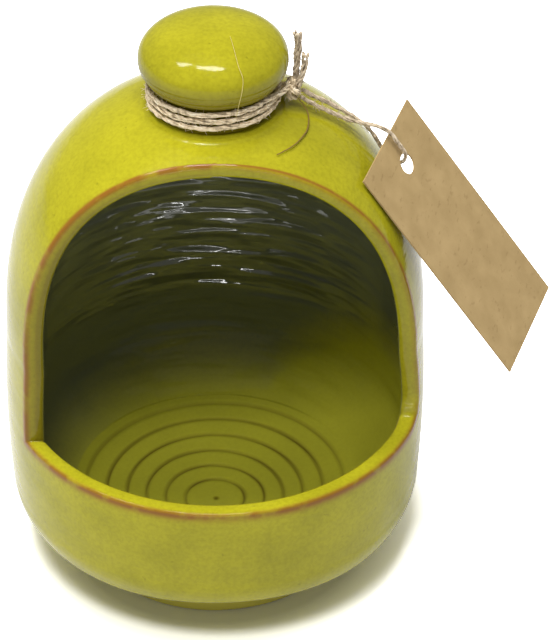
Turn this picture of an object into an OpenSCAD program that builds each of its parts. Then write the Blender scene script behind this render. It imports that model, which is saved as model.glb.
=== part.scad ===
// Salt pig: a wheel-thrown glazed pot with a wide front mouth, a knob on top,
// twine tied round the neck and a card swing tag on a doubled twine lead.
// Millimetres. The foot stands on z = 0, the mouth faces -Y, +Z is up.

/* [Pot body] */
// Outer radius of the wall at its two ends
body_r = 60; // [50:1:75]
// Extra radius at the middle of the wall, which bellies out a little
belly_out = 0.9; // [0.2:0.1:3]
// How far the wall draws in down to its lower corner
corner_in = 2.7; // [1:0.1:5]
// Height of the lower corner, where the wall turns under
corner_z = 18; // [14:0.2:22]
// Height where the drawn-in part becomes the upright wall
wall_start_z = 27; // [24:0.2:32]
// Height where the wall becomes the dome
dome_start_z = 77.4; // [70:0.2:90]
// Height the dome would reach on the axis
dome_top_z = 152.6; // [140:0.2:170]
// Squareness of the dome curve, 2 is an ellipse
dome_power = 2.31; // [2:0.01:2.8]
// Squareness of the dome's inside, a larger value thins the shoulder
inner_power = 2.55; // [2.31:0.01:2.6]
// Thickness of the thrown wall
wall_t = 5; // [4:0.25:8]
// Thickness of the floor at its middle
floor_t = 4.2; // [4:0.1:8]
// Radius of the flat underside
under_r = 40; // [36:0.5:46]
// Radius of the dished part of the inside floor
floor_r = 42; // [38:0.5:46]
// How far the inside floor rises from its middle to that radius
floor_rise = 7.4; // [4:0.2:10]
// Height where the inside becomes the upright wall
inner_start_z = 36; // [34:0.5:44]

/* [Throwing rings] */
// Radius of the first ring groove in the floor
ring_first_r = 8.6; // [6:0.2:12]
// Step from one ring groove to the next
ring_step = 5.95; // [5:0.05:9]
// Depth of a ring groove
ring_depth = 0.5; // [0.2:0.1:0.9]
// Width of a ring groove
ring_w = 1.8; // [1:0.1:2.6]

/* [Mouth] */
// Height of the lip across the front
lip_z = 54.4; // [45:0.2:65]
// Distance from the axis to the cut face at lip height, on the left side
mouth_left_y = 27.6; // [20:0.2:32]
// Distance from the axis to the cut face at lip height, on the right side
mouth_right_y = 16; // [12:0.2:32]
// Distance from the axis to the cut face at the top of the arch
mouth_high_y = 27.2; // [22:0.2:34]
// Length of the rounding where the right side runs into the lip
mouth_round = 9; // [2:0.5:12]

/* [Foot] */
// Height of the foot ring
foot_h = 6.4; // [4:0.2:8]
// Outer radius of the foot ring
foot_r = 39.2; // [34:0.2:40]
// Width of the foot ring
foot_w = 7; // [5:0.5:9]
// Rounding of the foot's lower edges
foot_round = 0.6; // [0.4:0.1:2]

/* [Knob] */
// Radius of the neck that the twine is tied on
neck_r = 16.8; // [13:0.1:18]
// Radius of the knob at its widest
knob_r = 20.7; // [19:0.1:26]
// Height of the widest circle of the knob above the neck's undercut
knob_rise = 5.2; // [4:0.1:8]
// Height of the knob's rounded top above its widest circle
knob_dome_h = 10.4; // [8:0.1:14]
// How far the knob's underside draws in above the neck
knob_draw = 2; // [1:0.1:3]

/* [Twine] */
// Thickness of the twine
twine_d = 1.7; // [1.2:0.1:2]
// Space between one turn and the next
turn_gap = 0.44; // [0.42:0.01:0.7]
// Running space between the twine and the glaze
twine_clear = 0.3; // [0.25:0.05:0.5]
// Radius of the tied knot
knot_r = 3; // [2.4:0.1:3.4]
// Turn of the tied twine about the axis
twine_turn = 0; // [-30:1:30]

/* [Tag] */
// Length of the card
tag_l = 74; // [60:1:90]
// Width of the card
tag_w = 36; // [28:1:40]
// Thickness of the card
tag_t = 0.5; // [0.3:0.1:0.8]
// Diameter of the punched hole
hole_d = 6; // [5.2:0.1:8]
// Distance from the hole to the near short edge
hole_in = 10; // [8:0.5:11]
// Sideways offset of the hole from the middle of the card
hole_off = 1.2; // [0:0.2:3]

/* [Hidden] */
$fn = 96;

// Number of turns round the neck
wrap_turns = 3;
floor_z = foot_h + floor_t;
corner_r = body_r - corner_in;
inner_r = body_r - wall_t;
inner_top_z = dome_top_z - wall_t;

// One step along a quarter of a superellipse, a runs from 0 to 90
function quarter(rx, rz, power, a) =
    [rx * pow(cos(a), 2 / power), rz * pow(sin(a), 2 / power)];

// Radius of the wall at a fraction of its height
function bellied(r, f) = r + belly_out * 4 * f * (1 - f);

// Fraction of the wall's height at a height above the table
function wall_fraction(z) = (z - wall_start_z) / (dome_start_z - wall_start_z);

// Height of the dished floor at a radius
function dished(r) = floor_z + floor_rise * pow(r / floor_r, 2);

// Height of the dome at a radius
function dome_z(r) =
    dome_start_z + (dome_top_z - dome_start_z) * pow(1 - pow(r / body_r, dome_power), 1 / dome_power);

seat_z = dome_z(neck_r);

// The two sides of the mouth meet here
arch_z = dome_z(mouth_high_y);

outer_points = concat(
    [[0, foot_h], [under_r, foot_h],
     [(under_r + corner_r) / 2, (foot_h + corner_z) / 2 - corner_in / 4]],
    [for (i = [0 : 5]) let (f = i / 5)
        [corner_r + corner_in * (1 - pow(1 - f, 2)), corner_z + f * (wall_start_z - corner_z)]],
    [for (i = [1 : 8]) let (f = i / 8)
        [bellied(body_r, f), wall_start_z + f * (dome_start_z - wall_start_z)]],
    [for (a = [3 : 3 : 87]) let (q = quarter(body_r, dome_top_z - dome_start_z, dome_power, a))
        if (q[0] > neck_r + 0.6) [q[0], dome_start_z + q[1]]],
    [[neck_r, seat_z], [0, seat_z]]);

ring_count = floor((floor_r - ring_first_r - ring_w) / ring_step) + 1;

inner_start_r = bellied(inner_r, wall_fraction(inner_start_z));
corner_lift = inner_start_z - dished(inner_start_r);

inner_points = concat(
    [[0, floor_z]],
    [for (i = [0 : ring_count - 1], side = [-1 : 1]) let (r = ring_first_r + i * ring_step + side * ring_w / 2)
        [r, dished(r) - (side == 0 ? ring_depth : 0)]],
    [for (a = [0 : 9 : 90]) let (q = quarter(corner_lift, inner_start_r - floor_r, 1.35, a), r = floor_r + q[1])
        [r, dished(r) + corner_lift - q[0]]],
    [for (i = [1 : 8]) let (z = inner_start_z + i / 8 * (dome_start_z - inner_start_z))
        [bellied(inner_r, wall_fraction(z)), z]],
    [for (a = [3 : 3 : 87]) let (q = quarter(inner_r, inner_top_z - dome_start_z, inner_power, a))
        [q[0], dome_start_z + q[1]]],
    [[0, inner_top_z]]);

function reversed(list) = [for (i = [len(list) - 1 : -1 : 0]) list[i]];

// The knob stands on the dome by its neck
wrap_r = neck_r + twine_clear + twine_d / 2;
turn_pitch = twine_d + turn_gap;
wrap_z = dome_z(wrap_r - twine_d / 2) + twine_clear + twine_d / 2;
under_knob_z = wrap_z + wrap_turns * turn_pitch + twine_d / 2 + twine_clear + 0.2;
knob_mid_z = under_knob_z + knob_rise;
knob_top_z = knob_mid_z + knob_dome_h;

// The knot sits outside the turns, half way up them
knot_x = wrap_r + twine_d / 2 + knot_r * 0.93;
knot_z = wrap_z + wrap_turns * turn_pitch / 2;
end_sweep = 36;

// Path of the wound twine: three turns, each end led out into the knot
function wrap_point(a) = let (
    last = wrap_turns * 360,
    s = a < end_sweep ? 1 - a / end_sweep : a > last - end_sweep ? 1 - (last - a) / end_sweep : 0,
    r = wrap_r + (knot_x - wrap_r - 1) * sin(90 * s),
    z = wrap_z + turn_pitch * a / 360 + (a < last / 2 ? 1 : -1) * 1.4 * s * s)
    [r * cos(a), r * sin(a), z];

wrap_path = [for (i = [0 : 24 * wrap_turns]) wrap_point(i * 15)];

// Straight ends, one twine thickness long
function led_out(path) = let (n = len(path), first = path[0] - path[1], last = path[n - 1] - path[n - 2])
    concat([path[0] + first / norm(first) * twine_d], path,
           [path[n - 1] + last / norm(last) * twine_d]);

// Curve through the route points
function smooth_at(p, i, u) = let (
    n = len(p), a = p[max(i - 1, 0)], b = p[i], c = p[i + 1], d = p[min(i + 2, n - 1)])
    0.5 * (2 * b + (c - a) * u + (2 * a - 5 * b + 4 * c - d) * u * u + (3 * b - a - 3 * c + d) * u * u * u);

function smooth_path(p, steps) = concat(
    [for (i = [0 : len(p) - 2], k = [0 : steps - 1]) smooth_at(p, i, k / steps)], [p[len(p) - 1]]);

// Direction of a path at a point
function heading(p, i) = let (d = p[min(i + 1, len(p) - 1)] - p[max(i - 1, 0)]) d / norm(d);

// Unbroken round tube along a path, its rings held level with one side direction
module tube(p, d, sides, across) {
    n = len(p);
    rings = [for (i = [0 : n - 1]) let (
        t = heading(p, i), e = cross(t, across), u = e / norm(e), v = cross(u, t))
        for (k = [0 : sides - 1]) p[i] + d / 2 * (cos(k * 360 / sides) * u + sin(k * 360 / sides) * v)];
    walls = [for (i = [0 : n - 2], k = [0 : sides - 1], half = [0 : 1]) let (
        a = i * sides + k, b = i * sides + (k + 1) % sides, c = a + sides, e = b + sides)
        half == 0 ? [a, b, e] : [a, e, c]];
    cap_faces = concat([for (k = [1 : sides - 2]) [0, k + 1, k]],
                       [for (k = [1 : sides - 2])
                           [(n - 1) * sides, (n - 1) * sides + k, (n - 1) * sides + k + 1]]);
    polyhedron(points = rings, faces = concat(walls, cap_faces), convexity = 10);
}

// Least space between the turns of a path and itself, measured on its points
function least_gap(p, skip) =
    min([for (i = [0 : len(p) - 1 - skip], j = [i + skip : len(p) - 1]) norm(p[i] - p[j])]) - twine_d;

// Place of the punched hole and lie of the card, against the pot's shoulder
hole_place = [53.7, -0.6, 130.5];
tag_lie = [11, -34, -28.5];

// Route of the lead from the knot over the card's edge, through the hole and back.
// Counted from the hole: out of the card, across it, towards its near short edge.
lead_route = [
    [-9.2, -7.6, 34.9], [-8, -5.8, 29.5], [-6.4, -4, 24.5], [-4.2, -2.4, 20], [-1.4, -1.2, 16.6],
    [1, -0.4, 13.7], [1.9, 0, 10.6], [2.1, 0, 7.4], [2, 0, 4.8], [1.5, 0, 2.6], [0, 0, 1.3],
    [-1.6, 0, 1.1], [-3.1, 0, 1.9], [-3.9, 0.1, 3.6], [-4.1, 0.3, 5.6], [-4, 0.5, 8],
    [-3.8, 0.7, 12], [-4.2, 0.4, 17], [-5.6, -0.6, 22], [-7.2, -2.6, 28], [-9.3, -5.3, 35.6]];
lead_path = smooth_path(lead_route, 3);

// Routes of the two cut ends, counted from the knot
long_route = [[1, 0.9, 2], [1.1, 0.9, 6], [1.4, 0.7, 11], [1.4, 0.6, 17.4]];
short_route = [[1.6, -1.2, 1.4], [2.6, -1.2, 4.6], [3.2, -1.2, 8], [3.4, -1.2, 11.8]];

echo(str("least gap of the wound twine ", least_gap(wrap_path, 12), " mm"));
echo(str("least gap of the lead ", least_gap(lead_path, 8), " mm"));

// Corner between the lip and one side of the mouth, rounded over a length along each
function mouth_corner(low_y, turn) = let (
    corner = [-low_y, lip_z],
    up = [low_y - mouth_high_y, arch_z - lip_z])
    turn > 0 ? [for (i = [0 : 6]) let (f = i / 6)
        corner + turn * (pow(1 - f, 2) * [-1, 0] + f * f * up / norm(up))] : [corner];

// Front that was sliced off one side of the mouth, from the lip to the top of the arch
module mouth_cut(low_y, turn, from_x, to_x) {
    translate([from_x, 0, 0]) rotate([90, 0, 90]) linear_extrude(to_x - from_x)
        polygon(concat([[-2 * body_r, lip_z]], mouth_corner(low_y, turn),
                       [[-mouth_high_y, arch_z], [-mouth_high_y, dome_top_z], [-2 * body_r, dome_top_z]]));
}

// Thrown body, closed over the top, with the front cut away above the lip
module dome_body() {
    color([0.62, 0.60, 0.16])
    difference() {
        rotate_extrude() polygon(concat(outer_points, reversed(inner_points)));
        mouth_cut(mouth_left_y, 0, -2 * body_r, 0.2);
        mouth_cut(mouth_right_y, mouth_round, 0, 2 * body_r);
    }
}

// Turned ring that the pot stands on
module foot_ring() {
    color([0.45, 0.40, 0.16])
    rotate_extrude() union() {
        translate([foot_r - foot_w, foot_round]) square([foot_w, foot_h - foot_round]);
        translate([foot_r - foot_w + foot_round, 0]) square([foot_w - 2 * foot_round, foot_h / 2]);
        translate([foot_r - foot_round, foot_round]) circle(foot_round);
        translate([foot_r - foot_w + foot_round, foot_round]) circle(foot_round);
    }
}

// Solid knob on its neck
module knob() {
    color([0.64, 0.62, 0.17])
    rotate_extrude() polygon(concat(
        [[0, seat_z], [neck_r, seat_z], [neck_r, under_knob_z], [knob_r - knob_draw, under_knob_z]],
        [for (a = [0 : 5 : 85]) let (q = quarter(knob_r, knob_dome_h, 2.3, a)) [q[0], knob_mid_z + q[1]]],
        [[0, knob_top_z]]));
}

module on_twine() {
    rotate([0, 0, twine_turn]) children();
}

// Twine wound three times round the neck
module neck_wrap() {
    color([0.68, 0.52, 0.33])
    on_twine() tube(led_out(wrap_path), twine_d, 6, [0, 0, 1]);
}

// The knot itself
module tie_knot() {
    color([0.62, 0.46, 0.28])
    on_twine() translate([knot_x, 0, knot_z]) sphere(knot_r);
}

// Longer cut end, standing up beside the knob
module tail_long() {
    color([0.70, 0.54, 0.35])
    on_twine() translate([knot_x, 0, knot_z]) tube(smooth_path(long_route, 3), twine_d, 8, [0, 1, 0]);
}

// Shorter cut end
module tail_short() {
    color([0.70, 0.54, 0.35])
    on_twine() translate([knot_x, 0, knot_z]) tube(smooth_path(short_route, 3), twine_d, 8, [0, 1, 0]);
}

module on_card() {
    on_twine() translate(hole_place) rotate(tag_lie) children();
}

// Doubled twine from the knot, looped through the card's hole
module tag_lead() {
    color([0.68, 0.52, 0.33])
    on_card() tube(lead_path, twine_d, 8, [0, 1, 0]);
}

// Card tag with a punched hole
module swing_tag() {
    color([0.80, 0.70, 0.55])
    on_card() rotate([0, 90, 0]) difference() {
        translate([-hole_in, -tag_w / 2 - hole_off, -tag_t / 2]) cube([tag_l, tag_w, tag_t]);
        cylinder(h = 4 * tag_t, d = hole_d, center = true);
    }
}

dome_body();
foot_ring();
knob();
neck_wrap();
tie_knot();
tail_long();
tail_short();
tag_lead();
swing_tag();
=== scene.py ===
"""Looks of the salt pig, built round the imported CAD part. Metres, in the part's own frame."""
import math
import random

import bmesh
import bpy
import numpy as np
from mathutils import Matrix, Vector


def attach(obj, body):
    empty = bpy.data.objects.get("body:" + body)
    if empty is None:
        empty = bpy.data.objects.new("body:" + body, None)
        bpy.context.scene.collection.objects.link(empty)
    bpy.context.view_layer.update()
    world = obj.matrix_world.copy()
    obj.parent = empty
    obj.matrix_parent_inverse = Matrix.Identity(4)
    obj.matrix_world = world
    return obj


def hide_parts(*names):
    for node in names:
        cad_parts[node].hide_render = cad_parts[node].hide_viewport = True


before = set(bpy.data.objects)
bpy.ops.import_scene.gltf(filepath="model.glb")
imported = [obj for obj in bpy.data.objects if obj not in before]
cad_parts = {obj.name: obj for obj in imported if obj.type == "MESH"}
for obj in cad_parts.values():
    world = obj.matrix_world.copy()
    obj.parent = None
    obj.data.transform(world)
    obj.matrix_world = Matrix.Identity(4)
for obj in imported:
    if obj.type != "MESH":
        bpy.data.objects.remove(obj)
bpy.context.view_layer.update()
MM = 0.001
rng = random.Random(7)

# Pot, in millimetres, as in the part's source
BODY_R = 60.0
BELLY_OUT = 0.9
CORNER_IN = 2.7
CORNER_Z = 18.0
WALL_START_Z = 27.0
DOME_START_Z = 77.4
DOME_TOP_Z = 152.6
DOME_POWER = 2.31
DOME_INNER_POWER = 2.55
BOWL_POWER = 1.35
WALL_T = 5.0
FOOT_H = 6.4
FLOOR_T = 4.2
UNDER_R = 40.0
FLOOR_R = 42.0
FLOOR_RISE = 7.4
INNER_START_Z = 36.0
LIP_Z = 54.4
MOUTH_LEFT_Y = 27.6
MOUTH_RIGHT_Y = 16.0
MOUTH_HIGH_Y = 27.2
MOUTH_ROUND = 9.0
RING_FIRST_R = 8.6
RING_STEP = 5.95
RING_DEPTH = 0.5
RING_W = 1.8
NECK_R = 16.8
KNOB_R = 20.7
KNOB_RISE = 5.2
KNOB_DOME_H = 10.4
KNOB_DRAW = 2.0

# Twine and card
TWINE_D = 1.7
TURN_GAP = 0.44
TWINE_CLEAR = 0.3
KNOT_R = 3.0
TWINE_TURN = 0.0
WRAP_TURNS = 3
END_SWEEP = 36.0
HOLE_PLACE = (53.7, -0.6, 130.5)
TAG_LIE = (11.0, -34.0, -28.5)

# How far out the knot's ball sits on the twine, as a share of its radius
KNOT_SEAT = 0.93
# Room between the last turn of twine and the knob
KNOB_CLEAR = 0.2

# Rounding of the mouth's edge, in the looks only
EDGE_ROUND = 1.1
# Bead of glaze gathered on the dome below the twine
BEAD_OUT = 0.9
BEAD_W = 0.65
BEAD_H = 0.26

# Points along each stretch of the pot's profile
BOTTOM_STEPS = 24
BOWL_STEPS = 64
WALL_STEPS = 60
DOME_STEPS = 320
CORNER_STEPS = 200
CORNER_MIDDLE = CORNER_STEPS // 2
RIM_SAMPLES = 4000

# Derived sizes
FLOOR_Z = FOOT_H + FLOOR_T
INNER_R = BODY_R - WALL_T
CORNER_R = BODY_R - CORNER_IN
INNER_TOP_Z = DOME_TOP_Z - WALL_T
BEAD_R = NECK_R + TWINE_CLEAR + TWINE_D + BEAD_OUT


def dome_height(r):
    """Height of the outer dome at a radius."""
    return DOME_START_Z + (DOME_TOP_Z - DOME_START_Z) * (1 - (r / BODY_R) ** DOME_POWER) ** (1 / DOME_POWER)


SEAT_Z = dome_height(NECK_R)
ARCH_Z = dome_height(MOUTH_HIGH_Y)
WRAP_R = NECK_R + TWINE_CLEAR + TWINE_D / 2
TURN_PITCH = TWINE_D + TURN_GAP
WRAP_Z = dome_height(WRAP_R - TWINE_D / 2) + TWINE_CLEAR + TWINE_D / 2
UNDER_KNOB_Z = WRAP_Z + WRAP_TURNS * TURN_PITCH + TWINE_D / 2 + TWINE_CLEAR + KNOB_CLEAR
KNOB_MID_Z = UNDER_KNOB_Z + KNOB_RISE
KNOT_X = WRAP_R + TWINE_D / 2 + KNOT_R * KNOT_SEAT
KNOT_Z = WRAP_Z + WRAP_TURNS * TURN_PITCH / 2


def outer_bottom():
    """Underside, lower corner and drawn-in foot of the outer wall, as (r, z) arrays."""
    middle = ((UNDER_R + CORNER_R) / 2, (FOOT_H + CORNER_Z) / 2 - CORNER_IN / 4)
    f = np.linspace(0, 1, BOTTOM_STEPS)
    under_r = (1 - f) ** 2 * UNDER_R + 2 * f * (1 - f) * middle[0] + f * f * CORNER_R
    under_z = (1 - f) ** 2 * FOOT_H + 2 * f * (1 - f) * middle[1] + f * f * CORNER_Z
    drawn_r = CORNER_R + CORNER_IN * (1 - (1 - f) ** 2)
    drawn_z = CORNER_Z + f * (WALL_START_Z - CORNER_Z)
    return np.concatenate([under_r, drawn_r[1:]]), np.concatenate([under_z, drawn_z[1:]])


def bellied(radius, z):
    """Radius of the wall at a height, a little larger half way up."""
    f = (z - WALL_START_Z) / (DOME_START_Z - WALL_START_Z)
    return radius + BELLY_OUT * 4 * f * (1 - f)


def dished(r):
    """Height of the dished floor at a radius."""
    return FLOOR_Z + FLOOR_RISE * (r / FLOOR_R) ** 2


def inner_bottom():
    """Curve from the dished floor up into the inner wall."""
    a = np.radians(np.linspace(0, 90, BOWL_STEPS))
    end_r = bellied(INNER_R, INNER_START_Z)
    lift = INNER_START_Z - dished(end_r)
    r = FLOOR_R + (end_r - FLOOR_R) * np.sin(a) ** (2 / BOWL_POWER)
    return r, dished(r) + lift * (1 - np.clip(np.cos(a), 0, 1) ** (2 / BOWL_POWER))


def profile(bottom, radius, top_z, power):
    """Points of half a pot: bottom curve, bellied wall and dome, as (r, z) arrays."""
    wall_z = np.linspace(bottom[1][-1], DOME_START_Z, WALL_STEPS)[1:]
    wall_r = bellied(radius, wall_z)
    b = np.radians(np.linspace(0, 90, DOME_STEPS)[1:])
    dome_r = radius * np.clip(np.cos(b), 0, 1) ** (2 / power)
    dome_z = DOME_START_Z + (top_z - DOME_START_Z) * np.sin(b) ** (2 / power)
    return np.concatenate([bottom[0], wall_r, dome_r]), np.concatenate([bottom[1], wall_z, dome_z])


class Side:
    """One side of the pot's wall, outer or inner, followed by the length along its profile."""

    def __init__(self, bottom, radius, top_z, power, bead=0.0):
        self.r, self.z = profile(bottom, radius, top_z, power)
        on_dome = self.z > DOME_START_Z
        self.z = self.z + on_dome * bead * np.exp(-((self.r - BEAD_R) / BEAD_W) ** 2)
        step = np.hypot(np.diff(self.r), np.diff(self.z))
        self.s = np.concatenate([[0], np.cumsum(step)])
        self.lean_r, self.lean_z = np.gradient(self.z, self.s), -np.gradient(self.r, self.s)

    def normal_at(self, s):
        """Direction square to the profile, as its outward and upward parts."""
        out, up = np.interp(s, self.s, self.lean_r), np.interp(s, self.s, self.lean_z)
        length = np.hypot(out, up)
        return out / length, up / length

    def at(self, s):
        return np.interp(s, self.s, self.r), np.interp(s, self.s, self.z)

    def length_at_z(self, z):
        return np.interp(z, self.z, self.s)


outer_side = Side(outer_bottom(), BODY_R, DOME_TOP_Z, DOME_POWER, BEAD_H)
inner_side = Side(inner_bottom(), INNER_R, INNER_TOP_Z, DOME_INNER_POWER)


def mouth_slope(low_y):
    """How fast the cut face comes forward as it rises, for a side that starts at low_y."""
    return (MOUTH_HIGH_Y - low_y) / (ARCH_Z - LIP_Z)


def corner_curve(low_y, turn):
    """Rounded corner between the lip and one side of the mouth: depth and height along it."""
    f = np.linspace(0, 1, CORNER_STEPS)
    up = np.array([mouth_slope(low_y), 1.0]) / math.hypot(mouth_slope(low_y), 1.0)
    depth = low_y + turn * ((1 - f) ** 2 + f * f * up[0])
    return depth, LIP_Z + turn * f * f * up[1]


# Size of the rounded corner at each side of the mouth
TURNS = {MOUTH_LEFT_Y: 0.0, MOUTH_RIGHT_Y: MOUTH_ROUND}


def notch_height(low_y):
    """Height of the middle of the rounded corner."""
    return float(corner_curve(low_y, TURNS[low_y])[1][CORNER_MIDDLE])


def lip_rise(depth):
    """How far the lip has risen into the right corner at a distance in front of the axis."""
    curve, height = corner_curve(MOUTH_RIGHT_Y, MOUTH_ROUND)
    return np.interp(depth, curve[CORNER_MIDDLE::-1], height[CORNER_MIDDLE::-1] - LIP_Z)


def cut_depth(z, low_y):
    """Distance from the axis to where the wall ends behind the rounded cut face."""
    depth = low_y + mouth_slope(low_y) * (np.minimum(z, ARCH_Z) - LIP_Z)
    if TURNS[low_y] > 0:
        curve, height = corner_curve(low_y, TURNS[low_y])
        rounded = np.interp(z, height[CORNER_MIDDLE:], curve[CORNER_MIDDLE:])
        depth = np.where(z < height[-1], rounded, depth)
    return depth - EDGE_ROUND


def rim_lengths(side, count, low_y):
    """Profile lengths of evenly spaced points up one side of the mouth, from lip to arch top."""
    s = np.linspace(side.length_at_z(notch_height(low_y) - EDGE_ROUND), side.s[-1], RIM_SAMPLES)
    r, z = side.at(s)
    cut = cut_depth(z, low_y)
    last = int(np.argmin(r >= cut)) - 1
    s, r, z, cut = s[: last + 1], r[: last + 1], z[: last + 1], cut[: last + 1]
    x = np.sqrt(np.clip(r * r - cut * cut, 0, None))
    x[-1] = 0
    step = np.sqrt(np.diff(x) ** 2 + np.diff(z) ** 2 + np.diff(cut) ** 2)
    run = np.concatenate([[0], np.cumsum(step)])
    return np.interp(np.linspace(0, run[-1], count), run, s)


# Columns round the back and along the lip, rows beside, below and above the mouth, steps across its edge
BACK_COLS = 168
FRONT_COLS = 72
RIM_ROWS = 90
LOW_ROWS = 44
TOP_ROWS = 26
STRIP = 14

# Uneven swell of the pot, as shares of its radius, and the heights over which it fades
OVAL_SWELL = 0.0035
THREE_SWELL = 0.0025
SWELL_IN = 30.0
SWELL_OUT = 20.0
# Flat at the lower front: its place and reach in radians and millimetres, its depth and where it starts
FLAT_AZ = 0.05
FLAT_REACH_AZ = 0.42
FLAT_Z = 15.0
FLAT_REACH_Z = 7.0
FLAT_LIFT = 1.1
FLAT_FROM_R = 44.0


def hand_made(points):
    """Small uneven swell that a hand-thrown pot has, and a slight flat at its lower front."""
    az = np.arctan2(points[:, 0], -points[:, 1])
    z = points[:, 2]
    swell = OVAL_SWELL * np.sin(2 * az + 0.6) * np.sin(z / 31) + THREE_SWELL * np.sin(3 * az + z / 40)
    fade = np.clip(z / SWELL_IN, 0, 1) * np.clip((SEAT_Z - z) / SWELL_OUT, 0, 1)
    out = points.copy()
    out[:, :2] *= (1 + swell * fade)[:, None]
    flat = np.exp(-((az - FLAT_AZ) / FLAT_REACH_AZ) ** 2) * np.exp(-((z - FLAT_Z) / FLAT_REACH_Z) ** 2)
    out[:, 2] += FLAT_LIFT * flat * (np.hypot(points[:, 0], points[:, 1]) > FLAT_FROM_R)
    return out


# Painted on the pot: bared clay, dark groove lines with painted shade on the mouth's edge, painted shade on
# the wall inside, rippled glaze, and pooled glaze with painted light
PAINTED = ("edge", "dark", "inside", "ridged", "pooled")


class Builder:
    """Collects a mesh's vertices, faces and normals, and the painted values of each vertex."""

    def __init__(self):
        self.points, self.faces, self.normals = [], [], []
        self.paint = {name: [] for name in PAINTED}

    def add(self, point, normal=(0, 0, 0), **values):
        self.points.append(tuple(point))
        self.normals.append(tuple(normal))
        for name, layer in self.paint.items():
            layer.append(values.get(name, 0.0))
        return len(self.points) - 1

    def quad(self, a, b, c, d):
        ids = []
        for i in (a, b, c, d):
            if i not in ids:
                ids.append(i)
        if len(ids) > 2:
            self.faces.append(ids)

    def grid(self, rows, closed, flip):
        for low, high in zip(rows, rows[1:]):
            n = len(low)
            for j in range(n if closed else n - 1):
                k = (j + 1) % n
                if flip:
                    self.quad(low[j], high[j], high[k], low[k])
                else:
                    self.quad(low[j], low[k], high[k], high[j])

    def fan(self, centre, ring, flip):
        for j, here in enumerate(ring):
            after = ring[(j + 1) % len(ring)]
            self.faces.append([centre, after, here] if flip else [centre, here, after])


def ring_point(r, z, az):
    """Point at a radius, a height and an angle counted from the front towards the right."""
    return r * math.sin(az), -r * math.cos(az), z


def risen(value, start, width):
    """Goes from 0 at start to 1 a width further on."""
    return np.clip((value - start) / width, 0, 1)


# Rows bend from level at the back to the mouth's sides by this power, and crowd towards the lip
BEND_POWER = 1.5
CROWD_POWER = 1.5
# Shares of a row: left smooth beside the mouth, and taken to come down from the rounded corner
SMOOTH_SHARE = 0.07
CORNER_SHARE = 0.16
# How near the arch's top the back rows end
BACK_TOP = 0.94
# Reach of the bared clay below the lip and beside the mouth
BARE_BELOW = 1.5
BARE_BESIDE = 0.6
# Where right, left and back begin round the pot, as a sine or cosine, and how soon they are reached
RIGHT_REACH = (0.35, 0.5)
LEFT_REACH = (0.2, 0.6)
BACK_REACH = (0.45, 0.4)
# Painted shade of the inside wall: where it starts, how much higher at the right, lower at the left, and its
# fade
SHADE_Z = 19.0
SHADE_RIGHT = 26.0
SHADE_LEFT = 5.0
SHADE_FADE = 17.0
# Strength of the glaze's ripples inside at six heights
RIPPLE_Z = [14, 22, 40, 54, 104, 118]
RIPPLE_LEVEL = [0, 0.5, 0.4, 1, 1, 0]


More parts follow.
